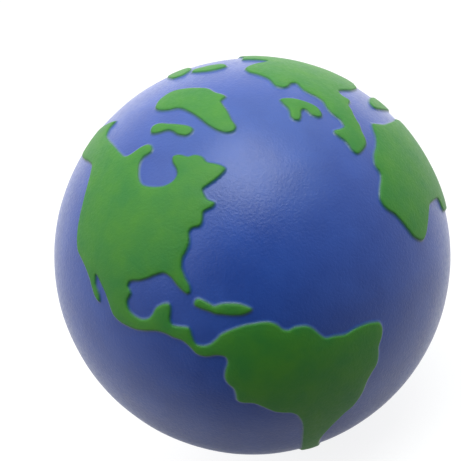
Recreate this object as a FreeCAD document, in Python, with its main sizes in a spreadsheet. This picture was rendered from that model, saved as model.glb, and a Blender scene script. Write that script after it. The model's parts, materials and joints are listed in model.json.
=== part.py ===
import FreeCAD, Part
import math
import os

# A foam stress ball moulded as a globe of the Earth: a sphere of cellular foam inside a denser
# moulded skin, with the land standing up from the sea as low plateaus, and a coat of paint on each
# land mass.
#
# Frame: the origin is the ball's centre, +Z runs to the north pole, +X to longitude 0 and +Y to
# longitude 90 east on the equator. Millimetres.

PARTS_FOLDER = "parts"

# alias, value, meaning
DIMENSIONS = [
    ("ball_diameter", 70, "diameter of the sea's surface"),
    ("relief_height", 0.45, "how far the painted land stands above the sea"),
    ("paint_thickness", 0.12, "coat of paint on the land"),
    ("skin_thickness", 1.5, "dense skin under the sea's surface"),
    ("root_depth", 0.5, "how deep the land's solids start inside the skin"),
    ("chart_distance", 50, "from the ball's centre to the flat chart a coast is drawn on"),
]

# The ball's own axis for its spherical surfaces, chosen so that the poles and the seam of every
# sphere lie in open sea: the sphere's pole, and the middle of its seam, as longitude and latitude.
SPHERE_POLE = (-20, -20)
SPHERE_SEAM = (180, -20)

SAMPLES_PER_SPAN = 3

# Each land mass is a closed outline of (longitude, latitude) points, in degrees, which the coast
# passes through as a smooth curve.
LANDS = {
    "americas": [
        (-163.4, 69), (-159.6, 67), (-152.1, 65.5), (-140.7, 65.5), (-130.7, 65.2),
        (-121.7, 64.2), (-114, 63.3), (-109.3, 64.3), (-104.2, 66.2), (-99.4, 67), (-95.4, 66.4),
        (-94.1, 64.9), (-96.2, 64), (-99.2, 63.1), (-100.5, 61.1), (-99.8, 58.7), (-98.3, 56.4),
        (-95.7, 54.8), (-90.6, 53.9), (-85.2, 53.5), (-80.8, 54.1), (-77.8, 55.7), (-77.8, 57.6),
        (-79.5, 59.7), (-79.2, 61.6), (-75.3, 61.5), (-71.3, 60.1), (-67.3, 59.9), (-64.2, 58.5),
        (-63.1, 56.5), (-59.7, 55.1), (-57.2, 53.6), (-56.9, 52.4), (-60.3, 51.3), (-64.5, 50.5),
        (-68.4, 49.7), (-68.3, 47.4), (-67.4, 46.2), (-65.7, 45.1), (-66.9, 44.2), (-70.3, 43.8),
        (-71.6, 41.8), (-73, 40.6), (-75.6, 40.6), (-77.3, 39.6), (-77.8, 37.3), (-79.1, 35.4),
        (-81, 33.7), (-81.9, 31.4), (-81.5, 28.8), (-80.9, 26.4), (-81.2, 24.8), (-82.4, 24.8),
        (-84.2, 27), (-85.8, 29.5), (-87.9, 31), (-90.6, 30.8), (-93.7, 30.2), (-96.7, 29.8),
        (-99.9, 29.7), (-101.2, 28.3), (-100.5, 26.4), (-102.2, 24.4), (-102.1, 22.3),
        (-100.6, 20.5), (-98.2, 19.4), (-95.8, 19.4), (-94, 20.6), (-92.4, 22.2), (-90.1, 22.9),
        (-88.3, 22.6), (-88.4, 20.9), (-89.2, 18.7), (-88.8, 17.1), (-86.6, 16.3), (-84.4, 15.6),
        (-84.3, 13.5), (-83.9, 11), (-81.9, 10), (-79.7, 10.1), (-77.7, 11.1), (-76.3, 11.9),
        (-74, 12.4), (-70.5, 12.6), (-67.1, 12.1), (-63.8, 11.3), (-61.9, 9.8), (-60.9, 7.8),
        (-59.4, 6.9), (-57.7, 7), (-55.4, 6.3), (-53.8, 4.9), (-52.8, 2.5), (-51.6, 0.3),
        (-49.2, -0.6), (-46.3, -1.9), (-42.8, -2.1), (-40, -2.6), (-37.5, -3.8), (-35.9, -4.9),
        (-35.7, -7.2), (-36.6, -9.6), (-38.3, -11.7), (-39, -14.6), (-40, -17.2), (-42.2, -19.1),
        (-44.2, -21.2), (-45.6, -23.9), (-47.6, -26.6), (-50.1, -28.9), (-53, -30.2),
        (-55.9, -32.1), (-58.3, -34.1), (-60.4, -36.3), (-62.4, -38.8), (-63.9, -41.4),
        (-65.2, -44.9), (-66, -50), (-66.5, -53.5), (-69.5, -55.5), (-73, -54), (-74.5, -50),
        (-71.8, -43.8), (-70, -38.5), (-68.6, -34.5), (-67.3, -30.5), (-66.3, -26.4),
        (-66.2, -22.3), (-67.3, -19.7), (-69.7, -18.1), (-71.8, -16.5), (-73.6, -13.9),
        (-75.7, -11.2), (-78.3, -10), (-79.5, -8.8), (-79, -6.7), (-78.8, -4.6), (-79.7, -2.5),
        (-79.7, -0.2), (-78.7, 1.8), (-77.4, 3.8), (-77.5, 5.7), (-79.7, 6.8), (-82.4, 7.1),
        (-84.4, 8.2), (-85.7, 10.5), (-87.1, 12.5), (-89.6, 13.9), (-92, 15.3), (-94.7, 16.2),
        (-98.2, 16.3), (-101.7, 16.9), (-105.1, 18.1), (-107.6, 19.7), (-108.7, 21.3),
        (-109.5, 24), (-110.8, 26.6), (-112.7, 29.1), (-114.5, 30.7), (-115, 28.1),
        (-113.8, 25.7), (-113.7, 23.4), (-115.4, 24.5), (-116.6, 26.7), (-117.8, 29.2),
        (-120, 31.6), (-122.7, 33.6), (-126.1, 35.6), (-128.1, 38.6), (-129.6, 42.6),
        (-130.9, 46.9), (-132.6, 50.7), (-135, 53.9), (-137.9, 56.1), (-140.9, 57.5),
        (-148, 57.2), (-154.1, 56), (-160.9, 54.7), (-165.9, 53.9), (-169.7, 56), (-173.1, 58.9),
        (-174.7, 61.9),
    ],
    "greenland": [
        (-120.7, 80.6), (-110.1, 79.5), (-98.4, 79.1), (-86.8, 79), (-74.2, 78.6), (-64.6, 76.6),
        (-58.3, 73.3), (-54.2, 69.1), (-50.3, 64.8), (-46.5, 62.3), (-42.8, 61.6), (-39.9, 62.7),
        (-38.9, 65.2), (-35.7, 68.3), (-32.3, 72.1), (-29.8, 73), (-23.5, 73.1), (-21.9, 74.9),
        (-22.1, 77.1), (-17.7, 80.3), (-21.8, 84), (-46.2, 87.3), (-128.2, 86.9), (-130.2, 83.3),
    ],
    "baffin_island": [
        (-101.2, 71.9), (-98.3, 70.7), (-91.4, 70.6), (-87.3, 70.9), (-82.8, 70.8), (-78.8, 69.9),
        (-75.4, 68.5), (-70.3, 67.2), (-66.3, 67.4), (-64.2, 68.6), (-68.1, 70.6), (-76.2, 72.2),
        (-85.6, 73.3), (-95.6, 74), (-101.1, 73.2),
    ],
    "greater_antilles": [
        (-80.1, 22.4), (-78.9, 22.4), (-77, 21), (-75.5, 19.7), (-73, 19.7), (-70.6, 19),
        (-68.6, 18.1), (-66.3, 16.2), (-66.9, 15.5), (-68.9, 15.4), (-71.1, 16), (-74, 17),
        (-76, 17.8), (-77.5, 19), (-80.6, 21),
    ],
    "british_isles": [
        (-15.7, 53.1), (-14.8, 54.5), (-12.4, 55.7), (-10.5, 57.2), (-9.3, 58.5), (-7.1, 59.8),
        (-4.7, 59), (-2.6, 56.9), (-1.4, 54.4), (-1.1, 51.9), (-1.9, 50), (-3.7, 48.6),
        (-5.6, 48), (-7.2, 48.6), (-7.8, 50.2), (-6.9, 51.9), (-7.1, 53.1), (-9.4, 53.2),
        (-11.7, 52.5), (-14.4, 52.1),
    ],
    "novaya_zemlya": [
        (86.5, 81.2), (58.7, 80.8), (48, 78), (47.6, 75.3), (57.9, 74.2), (67.4, 75.5),
        (78.8, 77.6), (89.6, 79),
    ],
    "severnaya_zemlya": [
        (96.6, 78.3), (102.5, 81.3), (115.4, 81.8), (126.6, 80.1), (126.9, 74.2), (114.1, 72.8),
        (103.2, 73.7),
    ],
    "eurasia": [
        (-9.9, 42.2), (-8.5, 42.9), (-6.5, 42), (-3.7, 41.5), (-1.7, 43.1), (-1, 45),
        (-0.1, 46.7), (1.8, 48.1), (4, 49.3), (5.6, 51.1), (6.4, 53.1), (7.3, 55), (9.6, 56.4),
        (12.4, 57.6), (10.6, 59.1), (6.8, 59.8), (4.5, 60.9), (4.5, 62.6), (7.6, 64),
        (11.7, 65.1), (15.4, 67), (18.4, 68.8), (22.1, 70.4), (27, 71.2), (31.7, 71.2),
        (36.5, 70), (40.5, 67.4), (42.7, 64.7), (46.1, 62.6), (50.8, 64.5), (55.5, 66.9),
        (58.5, 67.7), (63.5, 65.6), (67.5, 64.4), (71, 61.6), (74.5, 61.4), (78, 60.2),
        (81, 57.4), (84.5, 55), (88, 53.2), (92, 53.6), (96.5, 55.1), (101, 56.2), (105, 56.5),
        (108.3, 55.2), (111.5, 54.1), (116, 54.6), (120.5, 55.7), (125, 56.7), (129, 56.2),
        (131.5, 54.4), (135.5, 53.4), (140, 53.9), (143.8, 54.2), (147.8, 53), (152, 52.4),
        (156.8, 50.8),
        (155, 49.4), (149, 51), (143.5, 52.2), (139.6, 50.8),
        (139.5, 47.5), (135.5, 43.8), (131, 42.5), (128.5, 40), (129.5, 36.8), (128.5, 35),
        (126.2, 34.8), (125.5, 38), (122.5, 39.8), (118.8, 38.8), (120.5, 37), (120, 34),
        (121.8, 31), (121, 28), (118.5, 24.8), (114.5, 22.4), (110.5, 21), (106.8, 20.8),
        (106, 18.5), (108.8, 15.5), (109.2, 12), (106.5, 9.5), (104.6, 9.2), (102.5, 12),
        (100.3, 12.8), (100, 9.5), (102.4, 6), (104, 2), (102.3, 1.6), (100, 4.5), (98, 8.5),
        (98.2, 13), (96.5, 16.4), (94.2, 17.5), (91.5, 22), (88.5, 21.8), (86, 19.8), (82, 16.5),
        (80.2, 13.5), (79.5, 10), (77.4, 8), (75.8, 11.5), (74, 15.5), (72.6, 20), (69.5, 21.6),
        (67.5, 24.5), (62, 25.3), (58, 26.3), (55.6, 25.6), (57.5, 24.2), (59.3, 21.8), (56, 18),
        (50.5, 15), (45, 12.9), (43.6, 16), (42.8, 19.3), (39, 21.6), (34.6, 24.1), (31.2, 26),
        (28, 27.9), (24.8, 30), (20.9, 33.3), (22, 34.9), (26, 34.6), (30.5, 33), (36.5, 30),
        (42.5, 27), (47.5, 24.6), (50.6, 25.8), (51.4, 28.6), (47.5, 32), (42.5, 34.8),
        (37.5, 36.5), (32.6, 37.5), (26.7, 40.2), (23.7, 41.9), (21.5, 43.7), (18.6, 45.3),
        (16.7, 45.3), (15, 44.1), (14.4, 42.2), (10.3, 42.6), (8.4, 41.5), (5.7, 40.4),
        (3.8, 39.3), (1.8, 37.8), (-0.2, 36.8), (-2.2, 35.1), (-4.4, 34), (-7.7, 34),
        (-10.5, 34.4), (-11.3, 35.9), (-10, 38.9),
    ],
    "africa": [
        (-1.1, 31.3), (-5.9, 30.6), (-8.9, 28.9), (-10.2, 26), (-14.3, 23.9), (-16.8, 22),
        (-17.1, 19.1), (-15.5, 15.8), (-14.5, 11.5), (-13.7, 7.7), (-11.5, 4.6), (-8.6, 4.2),
        (-5.2, 5.6), (-1, 7.5), (1.4, 7.9), (5, 6.8), (8.8, 4.9), (9.5, 2.7), (9.9, 0),
        (14.5, -2.6), (20, -5.4), (24.4, -8.2), (25.6, -11.4), (23.6, -15.8), (21.2, -20),
        (19, -24), (17.3, -28.2), (17.8, -32), (19, -34.4), (22, -34.6), (26, -33.8), (30, -31),
        (32.5, -27.5), (35, -24), (35, -20.5), (38, -17.5), (40.5, -14.5), (40.3, -10.5),
        (39.3, -7), (39.8, -3.5), (43, 0), (46.5, 3.5), (49.3, 7), (51, 11.2), (48, 11.4),
        (44.5, 10.6), (42, 12.2), (41, 14.4), (40, 16.6), (36.8, 18.6), (32.4, 20.9), (29, 23),
        (26, 24.8), (22.1, 26.2), (16, 29), (12.5, 30.8), (9.5, 33.2), (7.9, 34.4), (5.6, 34),
        (2.7, 32.5),
    ],
    "madagascar": [
        (44, -24.8), (43.6, -21.5), (44.3, -17), (47, -15), (49.2, -12.2), (50.2, -15.5),
        (48.5, -20.5), (47, -24.8),
    ],
    "sri_lanka": [(79.8, 7.2), (80.2, 9.6), (81.8, 8), (81.6, 6.4), (80.3, 5.9)],
    "sumatra": [
        (95.3, 5.7), (98.2, 4.2), (101, 1.4), (103.8, -1.2), (106, -3.5), (105.6, -5.9),
        (102.5, -4.4), (100, -1.2), (97.3, 1.8),
    ],
    "java": [
        (105.4, -7.1), (107.5, -6), (111, -6.3), (114.4, -7.4), (114.6, -8.8), (110.5, -8.5),
        (107, -8),
    ],
    "borneo": [
        (109, 1.5), (111.5, 2.8), (114, 4.8), (116.8, 7), (119, 5.2), (117.6, 2), (117.4, -0.8),
        (116, -3.8), (112.5, -3.4), (110, -1.5),
    ],
    "sulawesi": [
        (119.3, -5.2), (119, -2.5), (119.8, 0.8), (122.5, 1.8), (125, 1.8), (124.6, 0.2),
        (121.8, -0.4), (123, -3), (122.6, -5), (120.6, -5.6),
    ],
    "philippines": [
        (120.2, 18.3), (122.3, 18), (122, 15.5), (124.5, 12.5), (126.3, 9), (126, 6.5), (123, 7),
        (121.5, 10), (119.8, 13.5), (119.8, 16),
    ],
    "japan": [
        (130, 31.5), (132, 32.8), (135.5, 33.5), (138.8, 34.6), (140.9, 35.6), (142, 39),
        (145, 43.3), (142, 45.3), (140.2, 42.8), (139.3, 39), (136.5, 37.2), (132.5, 35.5),
        (129.6, 33.6),
    ],
    "new_guinea": [
        (131, -0.8), (134, -0.9), (135.5, -2.9), (138.5, -1.8), (143, -3.5), (146.5, -5.8),
        (148, -8.5), (150.8, -10.5), (147, -10.2), (144, -8), (141, -9), (138.2, -8),
        (137.8, -5.5), (134, -4.2), (132, -2.8),
    ],
    "australia": [
        (113.5, -22), (114, -26.5), (115.7, -32), (118, -35), (123.5, -34), (129, -31.7),
        (133.5, -32.3), (137, -35), (140, -37.5), (144, -38.5), (147, -38.6), (150, -37.2),
        (151.5, -33), (153.4, -28.5), (152.6, -24.8), (149.5, -21.5), (146.3, -18.8),
        (145.2, -15), (142.7, -10.8), (141.4, -14), (140.5, -17.4), (137.5, -16.6),
        (135.7, -14.6), (136.3, -12.2), (132.7, -11.5), (129.8, -14), (126, -14), (122.5, -17.5),
        (118.5, -20.2),
    ],
    "tasmania": [(144.8, -40.9), (148.2, -40.9), (148.2, -42.6), (146.8, -43.7), (145.3, -42.7)],
    "new_zealand_north": [
        (172.8, -34.5), (175.8, -36.8), (178.3, -37.8), (176.8, -39.8), (175.2, -41.4),
        (173.7, -39.4), (174.4, -37.3),
    ],
    "new_zealand_south": [
        (172.6, -40.7), (174.2, -41.9), (172.8, -43.8), (170.8, -45.9), (168.6, -46.6),
        (166.6, -46), (168.3, -44), (170.6, -42.6),
    ],
    "antarctica": [
        (-57, -63.4), (-61.5, -65.5), (-67.5, -68.5), (-72, -72), (-88, -73), (-105, -74),
        (-125, -74), (-145, -75.8), (-158, -77.8), (-175, -78.8), (170, -77), (166, -72),
        (155, -69), (140, -66.7), (120, -66.5), (100, -65.8), (82, -67.5), (73, -70.5),
        (66, -67.8), (53, -66.3), (35, -69), (10, -70), (-10, -71.5), (-24, -74.5), (-38, -77.8),
        (-54, -77.5), (-62, -74.8), (-62.5, -70.5), (-60.5, -67),
    ],
}


def add_dimensions(doc):
    """The spreadsheet that every size is bound to."""
    sheet = doc.addObject("Spreadsheet::Sheet", "sizes")
    for row, (alias, value, meaning) in enumerate(DIMENSIONS, start=1):
        sheet.set(f"A{row}", meaning)
        sheet.set(f"B{row}", str(value))
        sheet.setAlias(f"B{row}", alias)
    doc.recompute()
    return sheet


def direction(longitude, latitude):
    """The unit vector from the ball's centre to a place on it."""
    turn = math.radians(longitude)
    rise = math.radians(latitude)
    return FreeCAD.Vector(
        math.cos(rise) * math.cos(turn),
        math.cos(rise) * math.sin(turn),
        math.sin(rise),
    )


def sphere_placement():
    """A placement that turns a sphere's own pole and seam to the sea."""
    pole = direction(*SPHERE_POLE)
    seam = direction(*SPHERE_SEAM)
    rotation = FreeCAD.Rotation(seam, FreeCAD.Vector(), pole, "ZXY")
    return FreeCAD.Placement(FreeCAD.Vector(), rotation)


def add_sphere(doc, label, radius):
    """A solid sphere about the ball's centre, its radius given as an expression."""
    sphere = doc.addObject("Part::Sphere", label)
    sphere.Label = label
    sphere.setExpression("Radius", radius)
    sphere.Placement = sphere_placement()
    return sphere


def add_shell(doc, label, outer, inner):
    """The space between two concentric spheres."""
    shell = doc.addObject("Part::Cut", label)
    shell.Label = label
    shell.Base = outer
    shell.Tool = inner
    return shell


def smooth_coast(outline):
    """Unit vectors along a smooth closed curve through the outline's points."""
    corners = [direction(*place) for place in outline]
    count = len(corners)
    coast = []
    for index in range(count):
        before, start, end, after = (corners[(index + step) % count] for step in (-1, 0, 1, 2))
        for sample in range(SAMPLES_PER_SPAN):
            along = sample / SAMPLES_PER_SPAN
            point = start * 2
            point += (end - before) * along
            point += (before * 2 - start * 5 + end * 4 - after) * along ** 2
            point += (start * 3 - before - end * 3 + after) * along ** 3
            coast.append(point.normalize())
    return coast


def middle_of(coast):
    """The centre of about the smallest round cap that holds a coast, as a unit vector."""
    middle = FreeCAD.Vector()
    for point in coast:
        middle += point
    middle.normalize()
    for step in range(2, 400):
        furthest = max(coast, key=middle.getAngle)
        middle += (furthest - middle) / step
        middle.normalize()
    return middle


def coast_cone(outline, chart_distance):
    """A many-sided cone from the ball's centre through a coast, as far as a flat chart."""
    coast = smooth_coast(outline)
    middle = middle_of(coast)
    chart = [point * (chart_distance / point.dot(middle)) for point in coast]
    apex = FreeCAD.Vector()
    faces = [Part.Face(Part.makePolygon(chart + chart[:1]))]
    for index, corner in enumerate(chart):
        faces.append(Part.Face(Part.makePolygon([apex, chart[index - 1], corner, apex])))
    shell = Part.makeShell(faces)
    shell.sewShape()
    cone = Part.makeSolid(shell)
    if cone.Volume < 0:
        cone.reverse()
    return cone


def add_common(doc, label, first, second):
    """What two solids share."""
    common = doc.addObject("Part::Common", label)
    common.Label = label
    common.Base = first
    common.Tool = second
    return common


def build(doc):
    """Makes the ball's sub-parts, and returns the objects that are written out."""
    sheet = add_dimensions(doc)
    sea_level = "sizes.ball_diameter / 2"
    skin_inside = f"{sea_level} - sizes.skin_thickness"
    land_root = f"{sea_level} - sizes.root_depth"
    land_top = f"{sea_level} + sizes.relief_height"
    land_bare = f"{land_top} - sizes.paint_thickness"

    foam_core = add_sphere(doc, "foam_core", skin_inside)
    sea_skin = add_shell(
        doc,
        "sea_skin",
        add_sphere(doc, "sea_surface", sea_level),
        add_sphere(doc, "skin_hollow", skin_inside),
    )
    land_layer = add_shell(
        doc,
        "land_layer",
        add_sphere(doc, "bare_land_surface", land_bare),
        add_sphere(doc, "land_root_surface", land_root),
    )
    paint_layer = add_shell(
        doc,
        "paint_layer",
        add_sphere(doc, "painted_land_surface", land_top),
        add_sphere(doc, "paint_underside", land_bare),
    )

    coats = []
    plateaus = []
    for name, outline in LANDS.items():
        cone = doc.addObject("Part::Feature", f"{name}_cone")
        cone.Shape = coast_cone(outline, float(sheet.chart_distance))
        plateaus.append(add_common(doc, f"{name}_plateau", cone, land_layer))
        coats.append(add_common(doc, name, cone, paint_layer))

    moulded_skin = doc.addObject("Part::MultiFuse", "moulded_skin")
    moulded_skin.Label = "moulded_skin"
    moulded_skin.Shapes = [sea_skin] + plateaus
    doc.recompute()
    return [foam_core, moulded_skin] + coats


def check(doc, sub_parts):
    """Stops if any object failed, or a sub-part isn't one valid solid."""
    for item in doc.Objects:
        if "Invalid" in item.State or "Error" in item.State:
            raise RuntimeError(f"{item.Label} failed: {item.State}")
    for item in sub_parts:
        shape = item.Shape
        if shape.isNull() or not shape.isValid() or len(shape.Solids) != 1:
            raise RuntimeError(f"{item.Label} isn't one valid solid")


def write(sub_parts):
    """Writes each sub-part to its own file."""
    os.makedirs(PARTS_FOLDER, exist_ok=True)
    for item in sub_parts:
        item.Shape.exportStep(f"{PARTS_FOLDER}/{item.Label}.step")
        print(f"{item.Label}: {item.Shape.Volume:.1f} mm3, {len(item.Shape.Faces)} faces")


document = FreeCAD.newDocument("globe_stress_ball")
finished = build(document)
check(document, finished)
write(finished)
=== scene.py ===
import json
import math

import bmesh
import bpy
import numpy as np
from mathutils import Matrix, Vector, noise
from mathutils.bvhtree import BVHTree
from mathutils.kdtree import KDTree


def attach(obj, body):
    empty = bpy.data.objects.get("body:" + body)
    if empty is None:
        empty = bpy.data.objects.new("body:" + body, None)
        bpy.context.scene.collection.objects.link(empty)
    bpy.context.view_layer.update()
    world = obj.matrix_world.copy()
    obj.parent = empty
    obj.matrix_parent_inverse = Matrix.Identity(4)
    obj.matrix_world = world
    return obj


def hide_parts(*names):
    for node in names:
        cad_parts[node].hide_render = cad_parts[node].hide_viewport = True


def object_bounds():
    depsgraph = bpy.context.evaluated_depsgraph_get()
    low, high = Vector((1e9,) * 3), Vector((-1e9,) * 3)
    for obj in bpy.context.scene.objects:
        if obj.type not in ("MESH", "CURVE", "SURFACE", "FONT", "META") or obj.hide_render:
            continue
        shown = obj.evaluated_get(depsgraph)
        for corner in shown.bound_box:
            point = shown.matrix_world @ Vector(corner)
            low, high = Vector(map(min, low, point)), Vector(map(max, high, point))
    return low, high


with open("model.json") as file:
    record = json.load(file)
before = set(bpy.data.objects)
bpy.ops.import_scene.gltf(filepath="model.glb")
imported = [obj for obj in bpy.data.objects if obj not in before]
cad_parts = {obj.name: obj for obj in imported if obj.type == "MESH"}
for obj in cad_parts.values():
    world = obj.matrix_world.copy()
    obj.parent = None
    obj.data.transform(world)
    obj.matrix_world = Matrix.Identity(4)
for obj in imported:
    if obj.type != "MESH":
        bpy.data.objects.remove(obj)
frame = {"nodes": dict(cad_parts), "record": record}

cad_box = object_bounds()

# A foam stress ball moulded as a globe. The CAD nodes give the sizes and the coasts. Here the land
# gets its rounded, sloping edge, the paint its own film with a hand-masked edge, and the foam, its
# skin and its paint their materials. Lengths are in metres.

MM = 0.001
NODES = frame["nodes"]
BODY = "root"
PAINT_SLOT = "land_paint"
COATS = [
    row["node"]
    for row in frame["record"]["subparts"]
    if row["material_slot"] == PAINT_SLOT
]

# How the edge of the land rises, by the distance inland from the coast.
FLANK_FOOT = -0.43 * MM
FLANK_SHOULDER = 0.33 * MM
CROWN_START = -0.1 * MM
CROWN_END = 1.6 * MM
CROWN_SHARE = 0.16

# How the moulded coast wanders.
COAST_WANDER = 0.07 * MM
COAST_WANDER_LENGTH = 1.9 * MM
COAST_SEED = 4

# The film of paint: how far it stands above the skin and reaches into it, and how its edge wanders.
PAINT_PROUD = 0.02 * MM
PAINT_REACH = 0.05 * MM
PAINT_WANDER = 0.06 * MM
PAINT_WANDER_LENGTH = 1.1 * MM
PAINT_SEED = 2

# How far the skin drops clear of the film above it, and how far inland that starts and ends.
SKIN_DROP = 0.12 * MM
SKIN_DROP_START = 0.1 * MM
SKIN_DROP_END = 0.5 * MM

# How widely and how strongly the soft edge of the paint tints the skin at sea as overspray and the
# paint inland, there partly as thin paint and partly as painted shade along the land's edge, and
# how much it roughens both.
OVERSPRAY = 0.42 * MM
OVERSPRAY_STRENGTH = 0.85
THIN_PAINT_AND_SHADE_WIDTH = 0.25 * MM
THIN_PAINT_AND_SHADE_STRENGTH = 0.45
EDGE_TINT_AND_SHADE = "edge_tint_and_shade"
EDGE_DULLING = 0.1

# The slow waviness of the moulded surface. The sink sets it lower, so that it hardly leaves the
# CAD box.
WAVE_HEIGHT = 0.04 * MM
WAVE_LENGTH = 7 * MM
WAVE_SINK = 0.4
WAVE_SEED = 1
RIPPLE_HEIGHT = 0.012 * MM
RIPPLE_LENGTH = 2.8 * MM
RIPPLE_SEED = 3

# How far apart the noises of two seeds in turn are taken, so that they differ.
SEED_STEPS = (17.3, 5.9, 11.7)

# The mesh: its longest edge at the coast and in the open, how it grows between, and how near a
# corner a cut moves to it. An edge that turns more than the sharp angle is shaded sharp.
BASE_SUBDIVISIONS = 6
FINE_EDGE = 0.31 * MM
OPEN_EDGE = 1.3 * MM
FINE_BAND = 0.3 * MM
EDGE_GROWTH = 0.6
REFINING_PASSES = 6
SNAP_SHARE = 0.12
SHARP_ANGLE = math.radians(60)

# How the CAD meshes are read: how near two points are to be one, how deep a point of the outer face
# may lie, and the spacing of the sample points along the coasts.
WELD_DISTANCE = 0.0001 * MM
FACE_DEPTH = 0.01 * MM
COAST_SPACING = 0.08 * MM

# The view: the place on the globe that faces the camera, the turn of the picture about it, the
# camera's distance in ball radii, and the ball's radius and place as shares of the picture's width.
VIEW_LATITUDE = math.radians(28.5)
VIEW_LONGITUDE = math.radians(-60.6)
VIEW_ROLL = math.radians(23.1)
VIEW_DISTANCE = 8
BALL_SHARE = 0.4301
SHIFT_RIGHT = -0.0473
SHIFT_UP = 0.0562
SENSOR_WIDTH = 36
NEAREST_SEEN = 10 * MM


def radii(node):
    """How far each vertex of a CAD node is from the ball's centre."""
    return np.array([vertex.co.length for vertex in NODES[node].data.vertices])


CORE_RADIUS = radii("foam_core").max()
LAND_RADIUS = max(radii(name).max() for name in COATS)
SKIN_RADII = radii("moulded_skin")
SEA_RADIUS = SKIN_RADII[SKIN_RADII > (CORE_RADIUS + LAND_RADIUS) / 2].min()


def unit(vectors):
    """The vectors at length 1."""
    return vectors / np.linalg.norm(vectors, axis=-1, keepdims=True)


def ease(values, start, end):
    """A smooth rise from 0 at start to 1 at end."""
    share = np.clip((values - start) / (end - start), 0, 1)
    return share * share * (3 - 2 * share)


def noise_at(directions, length, seed):
    """Smooth noise of about -1 to 1 over the ball, with features of the given length."""
    offset = Vector([seed * step for step in SEED_STEPS])
    scaled = directions * (SEA_RADIUS / length)
    return np.array([noise.noise(Vector(place) + offset) for place in scaled])


# ---- where the land is, from the CAD coats ----


def outer_face(node):
    """A coat's outer face as points and triangles, with equal points joined."""
    mesh = NODES[node].data
    mesh.calc_loop_triangles()
    points = np.array([vertex.co for vertex in mesh.vertices])
    triangles = np.array([triangle.vertices for triangle in mesh.loop_triangles])
    steps = np.round(points / WELD_DISTANCE).astype(np.int64)
    _, first, joined = np.unique(steps, axis=0, return_index=True, return_inverse=True)
    points = points[first]
    triangles = joined.reshape(-1)[triangles]
    is_outer = np.linalg.norm(points, axis=1) > LAND_RADIUS - FACE_DEPTH
    return points, triangles[is_outer[triangles].all(axis=1)]


def edges_of(triangles):
    """The edges of triangles, each once, and for each triangle the edge opposite each corner."""
    sides = np.stack([triangles[:, [1, 2]], triangles[:, [2, 0]], triangles[:, [0, 1]]], axis=1)
    pairs = np.sort(sides.reshape(-1, 2), axis=1)
    edges, which = np.unique(pairs, axis=0, return_inverse=True)
    return edges, which.reshape(-1, 3)


class Coasts:
    """Every coast line of the CAD coats, to measure distances from."""

    def __init__(self):
        starts, ends, owners = [], [], []
        corners, faces = [], []
        for number, name in enumerate(COATS):
            points, triangles = outer_face(name)
            edges, opposite = edges_of(triangles)
            rim = edges[np.bincount(opposite.ravel(), minlength=len(edges)) == 1]
            starts.append(points[rim[:, 0]])
            ends.append(points[rim[:, 1]])
            owners.append(np.full(len(rim), number))
            faces.append(triangles + sum(len(part) for part in corners))
            corners.append(points)
        self.starts = np.concatenate(starts)
        self.ends = np.concatenate(ends)
        self.owners = np.concatenate(owners)
        self.land = BVHTree.FromPolygons(
            np.concatenate(corners).tolist(), np.concatenate(faces).tolist(),
            all_triangles=True, epsilon=1e-7,
        )
        self.sample()

    def sample(self):
        """Puts points along every coast edge into a tree for quick searches."""
        lengths = np.linalg.norm(self.ends - self.starts, axis=1)
        counts = np.maximum(1, np.ceil(lengths / COAST_SPACING)).astype(int)
        self.tree = KDTree(int(counts.sum()))
        for edge, count in enumerate(counts):
            for step in range(count):
                share = (step + 0.5) / count
                place = self.starts[edge] * (1 - share) + self.ends[edge] * share
                self.tree.insert(place, edge)
        self.tree.balance()

    def measure(self, directions):
        """The distance inland from the nearest coast, below 0 at sea, and that coast's coat."""
        places = directions * LAND_RADIUS
        nearest = np.array([self.tree.find(place)[1] for place in places])
        start = self.starts[nearest]
        along = self.ends[nearest] - start
        share = ((places - start) * along).sum(axis=1) / (along * along).sum(axis=1)
        foot = start + np.clip(share, 0, 1)[:, None] * along
        distance = np.linalg.norm(places - foot, axis=1)
        centre = Vector()
        is_land = np.array([
            self.land.ray_cast(centre, Vector(direction))[0] is not None
            for direction in directions
        ])
        return np.where(is_land, distance, -distance), self.owners[nearest]


# ---- the globe's mesh, fine along the coasts ----


def icosphere(subdivisions):
    """The directions and triangles of an even sphere."""
    shape = bmesh.new()
    bmesh.ops.create_icosphere(shape, subdivisions=subdivisions, radius=1)
    directions = unit(np.array([vertex.co for vertex in shape.verts]))
    triangles = np.array([[vertex.index for vertex in face.verts] for face in shape.faces])
    shape.free()
    return directions, triangles


def too_long(directions, edges, distance):
    """Which edges are longer than the mesh should have there."""
    first, second = distance[edges[:, 0]], distance[edges[:, 1]]
    lengths = np.linalg.norm(directions[edges[:, 0]] - directions[edges[:, 1]], axis=1) * SEA_RADIUS
    crosses = np.sign(first) != np.sign(second)
    away = np.where(crosses, 0, np.minimum(np.abs(first), np.abs(second)))
    allowed = FINE_EDGE + EDGE_GROWTH * np.maximum(0, away - FINE_BAND)
    return lengths > np.minimum(allowed, OPEN_EDGE)


def spread(marked, opposite):
    """Marks all three sides of any triangle that has two of them marked."""
    while True:
        busy = marked[opposite].sum(axis=1) == 2
        if not busy.any():
            return marked
        marked[opposite[busy].ravel()] = True


def divided(triangles, middles):
    """Triangles cut at the middles of their marked sides; a middle below 0 means no cut."""
    marks = (middles >= 0).sum(axis=1)
    parts = [triangles[marks == 0]]
    a, b, c = triangles[marks == 3].T
    ma, mb, mc = middles[marks == 3].T
    parts += [np.stack(corners, axis=1) for corners in
              ((a, mc, mb), (b, ma, mc), (c, mb, ma), (ma, mb, mc))]
    for turn in range(3):
        order = [turn, (turn + 1) % 3, (turn + 2) % 3]
        here = (marks == 1) & (middles[:, turn] >= 0)
        a, b, c = triangles[here][:, order].T
        middle = middles[here][:, turn]
        parts += [np.stack((a, b, middle), axis=1), np.stack((a, middle, c), axis=1)]
    return np.concatenate(parts)


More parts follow.
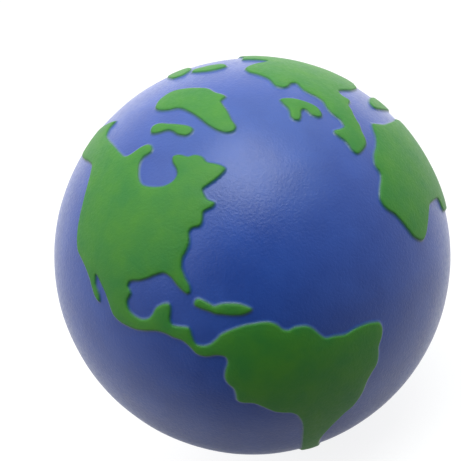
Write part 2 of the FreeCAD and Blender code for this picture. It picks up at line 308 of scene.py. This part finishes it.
def refined_globe(coasts):
    """Directions, triangles, distances inland and coat numbers of the globe's mesh."""
    directions, triangles = icosphere(BASE_SUBDIVISIONS)
    distance, owner = coasts.measure(directions)
    for _ in range(REFINING_PASSES):
        edges, opposite = edges_of(triangles)
        marked = too_long(directions, edges, distance)
        if not marked.any():
            break
        marked = spread(marked, opposite)
        middle_of = np.full(len(edges), -1)
        middle_of[marked] = len(directions) + np.arange(marked.sum())
        added = unit(directions[edges[marked]].sum(axis=1))
        added_distance, added_owner = coasts.measure(added)
        triangles = divided(triangles, middle_of[opposite])
        directions = np.concatenate([directions, added])
        distance = np.concatenate([distance, added_distance])
        owner = np.concatenate([owner, added_owner])
    return directions, triangles, distance, owner


# ---- the shape of the surface ----


def land_rise(distance):
    """How far the surface has risen from sea to land, from 0 to 1."""
    flank = ease(distance, FLANK_FOOT, FLANK_SHOULDER)
    crown = ease(distance, CROWN_START, CROWN_END)
    return (1 - CROWN_SHARE) * flank + CROWN_SHARE * crown


def surface_radius(directions, distance):
    """The radius of the bare moulded surface."""
    rise = (LAND_RADIUS - PAINT_PROUD - SEA_RADIUS) * land_rise(distance)
    wave = WAVE_HEIGHT * (noise_at(directions, WAVE_LENGTH, WAVE_SEED) - WAVE_SINK)
    ripple = RIPPLE_HEIGHT * noise_at(directions, RIPPLE_LENGTH, RIPPLE_SEED)
    return SEA_RADIUS + rise + wave + ripple


def make_piece(name, points, triangles, material):
    """A smooth-shaded object of the ball, riding on its body."""
    mesh = bpy.data.meshes.new(name)
    mesh.from_pydata(points.tolist(), [], triangles.tolist())
    mesh.polygons.foreach_set("use_smooth", [True] * len(mesh.polygons))
    mesh.set_sharp_from_angle(angle=SHARP_ANGLE)
    mesh.materials.append(material)
    mesh.update()
    piece = bpy.data.objects.new(name, mesh)
    bpy.context.scene.collection.objects.link(piece)
    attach(piece, BODY)
    return piece


def tint_edge_and_shade(piece, shares):
    """Stores how strongly each vertex has the colour of a paint edge, for the material: overspray
    at sea, thin paint with painted shade on the land.
    """
    tint_and_shade = piece.data.attributes.new(EDGE_TINT_AND_SHADE, "FLOAT", "POINT")
    tint_and_shade.data.foreach_set("value", shares.astype(np.float32))


def make_skin(directions, triangles, distance, radius, material):
    """The skin: the moulded surface outside and the foam's sphere inside."""
    drop = SKIN_DROP * ease(distance, SKIN_DROP_START, SKIN_DROP_END)
    outside = directions * (radius - drop)[:, None]
    inner_directions, inner_triangles = icosphere(BASE_SUBDIVISIONS - 1)
    inside = inner_directions * CORE_RADIUS
    points = np.concatenate([outside, inside])
    faces = np.concatenate([triangles, inner_triangles[:, ::-1] + len(outside)])
    skin = make_piece("globe_skin", points, faces, material)
    overspray = OVERSPRAY_STRENGTH * (1 - ease(-distance, 0, OVERSPRAY))
    tint_edge_and_shade(skin, np.concatenate([overspray, np.zeros(len(inside))]))
    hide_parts("moulded_skin")


def clipped(triangles, inland):
    """The part of a mesh where inland is above 0, as points and triangles.

    Each point is two vertices of the mesh and the point's share of the way between them.
    """
    places = {}
    points = []

    def point(first, second, share):
        if (first, second) not in places:
            places[first, second] = len(points)
            points.append((first, second, share))
        return places[first, second]

    def kept(corner):
        return point(corner, corner, 0.0)

    def cut(inside, outside):
        share = inland[inside] / (inland[inside] - inland[outside])
        if share < SNAP_SHARE:
            return kept(inside)
        if share > 1 - SNAP_SHARE:
            return kept(outside)
        return point(inside, outside, share)

    faces = []
    for corners in triangles.tolist():
        above = [inland[corner] > 0 for corner in corners]
        loop = []
        for position in range(3):
            here, after = corners[position], corners[(position + 1) % 3]
            here_above, after_above = above[position], above[(position + 1) % 3]
            if here_above:
                loop.append(kept(here))
            if here_above and not after_above:
                loop.append(cut(here, after))
            if after_above and not here_above:
                loop.append(cut(after, here))
        loop = [item for number, item in enumerate(loop) if item != loop[number - 1]]
        for number in range(1, len(loop) - 1):
            faces.append((loop[0], loop[number], loop[number + 1]))
    return np.array(points), np.array(faces)


def make_coat(number, directions, triangles, distance, owner, radius, inland, material):
    """One land's film of paint, a thin closed shell that follows the moulded surface."""
    own = triangles[((owner[triangles] == number) & (inland[triangles] > 0)).any(axis=1)]
    points, faces = clipped(own, inland)
    first, second = points[:, 0].astype(int), points[:, 1].astype(int)
    share = points[:, 2]

    def between(values):
        """The grid's values at the film's points."""
        return (values[first].T * (1 - share) + values[second].T * share).T

    surface = between(directions * radius[:, None])
    outward = unit(surface)
    top = surface + outward * PAINT_PROUD
    bottom = surface - outward * PAINT_REACH
    count = len(top)
    edges, opposite = edges_of(faces)
    rim = np.bincount(opposite.ravel(), minlength=len(edges))[opposite] == 1
    walls = []
    for corner in range(3):
        sides = faces[rim[:, corner]]
        start, end = sides[:, (corner + 1) % 3], sides[:, (corner + 2) % 3]
        walls.append(np.stack((start, start + count, end), axis=1))
        walls.append(np.stack((end, start + count, end + count), axis=1))
    shell = np.concatenate([faces, faces[:, ::-1] + count] + walls)
    name = COATS[number]
    coat = make_piece(
        f"{name}_paint", np.concatenate([top, bottom]), shell, material
    )
    # The paint darkens towards the coast, partly as thin paint over the blue and partly as painted
    # shade along the land's edge.
    thin_paint_and_shade = THIN_PAINT_AND_SHADE_STRENGTH * (1 - ease(between(distance), 0, THIN_PAINT_AND_SHADE_WIDTH))
    tint_edge_and_shade(coat, np.concatenate([thin_paint_and_shade, thin_paint_and_shade]))
    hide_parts(name)


# ---- materials; a texture's scale is its features for each metre ----

# A dark teal for the paint's edges: overspray on the skin at sea, and on the land thin paint with
# painted shade.
PAINT_EDGE_AND_SHADE_COLOUR = (0.017, 0.1, 0.065)
GRAIN_SCALE = 1500
GLOSS_SPREAD = 0.05
PEEL_SCALE = 2300
PEEL_HEIGHT = 0.05 * MM
CELL_SCALE = 1400
CELL_HEIGHT = 0.3 * MM
MIDDLE_OF_NOISE = {"From Min": 0.3, "From Max": 0.7}


def new_material(name):
    """A material with only its shader and output, and a function that adds nodes to it."""
    material = bpy.data.materials.new(name)
    material.use_nodes = True
    tree = material.node_tree
    shader = tree.nodes["Principled BSDF"]

    def add(kind, inputs=None, **settings):
        node = tree.nodes.new(kind)
        for key, value in settings.items():
            setattr(node, key, value)
        for key, value in (inputs or {}).items():
            if isinstance(value, bpy.types.NodeSocket):
                tree.links.new(value, node.inputs[key])
            else:
                node.inputs[key].default_value = value
        return node

    return material, tree, shader, add


def blend_colours(add, factor, first, second):
    """A colour between two, each a socket or three numbers, by a factor socket."""
    mix = add("ShaderNodeMix", data_type="RGBA")
    mix.id_data.links.new(factor, mix.inputs["Factor"])
    for key, colour in (("A", first), ("B", second)):
        if isinstance(colour, bpy.types.NodeSocket):
            mix.id_data.links.new(colour, mix.inputs[key])
        else:
            mix.inputs[key].default_value = (*colour, 1)
    return mix.outputs["Result"]


def satin_skin(name, deep, pale, patch_scale, roughness, specular):
    """A satin flexible skin: a slightly uneven colour, a fine orange peel and uneven gloss.

    The edge tint turns it towards the colour of a thin edge of paint, which on the land is also
    painted shade along the coast, and makes it duller.
    """
    material, tree, shader, add = new_material(name)
    place = add("ShaderNodeTexCoord").outputs["Object"]
    patches = add("ShaderNodeTexNoise", {"Vector": place, "Scale": patch_scale, "Detail": 3.0})
    grain = add("ShaderNodeTexNoise", {"Vector": place, "Scale": GRAIN_SCALE, "Detail": 2.0})
    patch = add("ShaderNodeMapRange", {"Value": patches.outputs["Fac"], **MIDDLE_OF_NOISE})
    open_colour = blend_colours(add, patch.outputs["Result"], deep, pale)
    # The edge colour: overspray on the skin at sea, and thin paint with painted shade on the land.
    tint_and_shade = add("ShaderNodeAttribute", attribute_name=EDGE_TINT_AND_SHADE)
    colour = blend_colours(add, tint_and_shade.outputs["Fac"], open_colour, PAINT_EDGE_AND_SHADE_COLOUR)
    tree.links.new(colour, shader.inputs["Base Color"])
    gloss = add(
        "ShaderNodeMapRange",
        {"Value": grain.outputs["Fac"], **MIDDLE_OF_NOISE,
         "To Min": roughness - GLOSS_SPREAD, "To Max": roughness + GLOSS_SPREAD},
    )
    dulled = add(
        "ShaderNodeMath",
        {0: tint_and_shade.outputs["Fac"], 1: EDGE_DULLING, 2: gloss.outputs["Result"]},
        operation="MULTIPLY_ADD",
    )
    tree.links.new(dulled.outputs["Value"], shader.inputs["Roughness"])
    peel = add(
        "ShaderNodeTexNoise",
        {"Vector": place, "Scale": PEEL_SCALE, "Detail": 2.0, "Roughness": 0.6},
    )
    bump = add(
        "ShaderNodeBump",
        {"Height": peel.outputs["Fac"], "Strength": 1.0, "Distance": PEEL_HEIGHT},
    )
    tree.links.new(bump.outputs["Normal"], shader.inputs["Normal"])
    shader.inputs["Specular IOR Level"].default_value = specular
    return material


def cellular_foam():
    """Cream flexible foam with open cells, with painted shade that darkens each cell towards its
    hollow middle.
    """
    material, tree, shader, add = new_material("cellular_foam")
    place = add("ShaderNodeTexCoord").outputs["Object"]
    cells = add("ShaderNodeTexVoronoi", {"Vector": place, "Scale": CELL_SCALE}, feature="F1")
    # Painted shade: each cell is darker towards its middle, where the bump below sets it deepest.
    cream_and_cell_shade = blend_colours(add, cells.outputs["Distance"], (0.42, 0.36, 0.25), (0.8, 0.74, 0.6))
    tree.links.new(cream_and_cell_shade, shader.inputs["Base Color"])
    bump = add(
        "ShaderNodeBump",
        {"Height": cells.outputs["Distance"], "Strength": 0.8, "Distance": CELL_HEIGHT},
    )
    tree.links.new(bump.outputs["Normal"], shader.inputs["Normal"])
    shader.inputs["Roughness"].default_value = 0.95
    return material


# ---- the ball ----


def build_ball():
    """Makes every piece of the ball."""
    coasts = Coasts()
    directions, triangles, distance, owner = refined_globe(coasts)
    distance += COAST_WANDER * noise_at(directions, COAST_WANDER_LENGTH, COAST_SEED)
    inland = distance + PAINT_WANDER * noise_at(directions, PAINT_WANDER_LENGTH, PAINT_SEED)
    radius = surface_radius(directions, distance)
    sea_blue = satin_skin(
        "sea_blue", deep=(0.016, 0.052, 0.27), pale=(0.021, 0.065, 0.315),
        patch_scale=170, roughness=0.33, specular=0.5,
    )
    land_green = satin_skin(
        "land_green", deep=(0.021, 0.167, 0.022), pale=(0.041, 0.197, 0.014),
        patch_scale=260, roughness=0.55, specular=0.36,
    )
    make_skin(directions, triangles, distance, radius, sea_blue)
    for number in range(len(COATS)):
        make_coat(number, directions, triangles, distance, owner, radius, inland, land_green)
    core = NODES["foam_core"]
    core.data.materials.clear()
    core.data.materials.append(cellular_foam())


# ---- the studio ----

SOFTBOX_DISTANCE = 0.5
WHITE_BACKDROP = 1.0
FLOOR_RADIUS = 6
FLOOR_GAP = 0.02 * MM
FLOOR_SHADE = 0.16
FLOOR_GLOW = 0.86

# The camera's axes.
TOWARD = Vector((
    math.cos(VIEW_LATITUDE) * math.cos(VIEW_LONGITUDE),
    math.cos(VIEW_LATITUDE) * math.sin(VIEW_LONGITUDE),
    math.sin(VIEW_LATITUDE),
))
EAST = Vector((-math.sin(VIEW_LONGITUDE), math.cos(VIEW_LONGITUDE), 0))
NORTH = TOWARD.cross(EAST)
RIGHT = EAST * math.cos(VIEW_ROLL) - NORTH * math.sin(VIEW_ROLL)
UP = EAST * math.sin(VIEW_ROLL) + NORTH * math.cos(VIEW_ROLL)


def add_camera():
    """The camera at the picture's view."""
    data = bpy.data.cameras.new("camera")
    data.sensor_width = SENSOR_WIDTH
    data.lens = SENSOR_WIDTH * BALL_SHARE * math.sqrt(VIEW_DISTANCE ** 2 - 1)
    data.shift_x = SHIFT_RIGHT
    data.shift_y = SHIFT_UP
    data.clip_start = NEAREST_SEEN
    camera = bpy.data.objects.new("camera", data)
    bpy.context.scene.collection.objects.link(camera)
    turn = Matrix((RIGHT, UP, TOWARD)).transposed().to_4x4()
    camera.matrix_world = Matrix.Translation(TOWARD * VIEW_DISTANCE * SEA_RADIUS) @ turn
    bpy.context.scene.camera = camera


def add_softbox(name, direction, size, radiance, colour=(1, 1, 1)):
    """A square light that faces the ball, placed by its direction as the camera sees it."""
    data = bpy.data.lights.new(name, "AREA")
    data.size = size
    data.energy = radiance * math.pi * size ** 2
    data.color = colour
    light = bpy.data.objects.new(name, data)
    bpy.context.scene.collection.objects.link(light)
    right, up, toward = direction
    outward = (RIGHT * right + UP * up + TOWARD * toward).normalized()
    light.location = outward * SOFTBOX_DISTANCE
    light.rotation_mode = "QUATERNION"
    light.rotation_quaternion = outward.to_track_quat("Z", "Y")
    light.visible_camera = False


def add_world():
    """Soft light from behind, above and both sides, weaker low behind and none in front."""
    world = bpy.data.worlds.new("studio")
    bpy.context.scene.world = world
    world.use_nodes = True
    tree = world.node_tree
    background = tree.nodes["Background"]
    place = tree.nodes.new("ShaderNodeTexCoord")

    def glow(direction, start, end, strength):
        """Light that grows to its strength as the cosine to a direction goes from start to end.

        A strength below 0 takes light away.
        """
        facing = tree.nodes.new("ShaderNodeVectorMath")
        facing.operation = "DOT_PRODUCT"
        tree.links.new(place.outputs["Generated"], facing.inputs[0])
        facing.inputs[1].default_value = direction
        level = tree.nodes.new("ShaderNodeMapRange")
        level.interpolation_type = "SMOOTHSTEP"
        level.inputs["From Min"].default_value = start
        level.inputs["From Max"].default_value = end
        level.inputs["To Max"].default_value = strength
        tree.links.new(facing.outputs["Value"], level.inputs["Value"])
        return level.outputs["Result"]

    high_behind = (UP * 0.45 - TOWARD).normalized()
    low_behind = (RIGHT * 0.12 - UP * 0.6 - TOWARD).normalized()
    lit = glow(-TOWARD, start=-0.6, end=0.6, strength=0.7)
    for direction, start, strength in (
        (UP, 0.0, 0.64),
        (-RIGHT, 0.0, 0.45),
        (RIGHT, 0.0, 0.4),
        (high_behind, 0.6, 0.8),
        (low_behind, 0.85, -0.36),
    ):
        total = tree.nodes.new("ShaderNodeMath")
        tree.links.new(lit, total.inputs[0])
        tree.links.new(glow(direction, start, 1.0, strength), total.inputs[1])
        lit = total.outputs["Value"]
    path = tree.nodes.new("ShaderNodeLightPath")
    seen = tree.nodes.new("ShaderNodeMix")
    tree.links.new(path.outputs["Is Camera Ray"], seen.inputs["Factor"])
    tree.links.new(lit, seen.inputs["A"])
    seen.inputs["B"].default_value = WHITE_BACKDROP
    tree.links.new(seen.outputs["Result"], background.inputs["Strength"])
    background.inputs["Color"].default_value = (1, 1, 1, 1)


def add_floor():
    """A plain pale floor under the ball, which glows so that the ball's shadow stays faint."""
    bpy.ops.mesh.primitive_circle_add(
        vertices=96, radius=FLOOR_RADIUS, fill_type="NGON",
        location=(0, 0, cad_box[0].z - FLOOR_GAP),
    )
    floor = bpy.context.object
    floor.name = "floor"
    material, _, shader, _ = new_material("pale_floor")
    shader.inputs["Base Color"].default_value = (FLOOR_SHADE, FLOOR_SHADE, FLOOR_SHADE, 1)
    shader.inputs["Roughness"].default_value = 0.9
    shader.inputs["Emission Color"].default_value = (1, 1, 1, 1)
    shader.inputs["Emission Strength"].default_value = FLOOR_GLOW
    floor.data.materials.append(material)
    floor.visible_diffuse = False
    floor.visible_glossy = False


build_ball()
add_camera()
add_softbox("key", direction=(-0.06, 0.74, 0.67), size=0.34, radiance=3.9)
add_softbox(
    "overhead", direction=(-0.05, 0.88, 0.47), size=0.75, radiance=0.93, colour=(0.72, 0.97, 0.86)
)
add_softbox("left", direction=(-0.75, 0.3, 0.6), size=0.45, radiance=1.17)
add_world()
add_floor()
bpy.context.scene.view_settings.view_transform = "Standard"
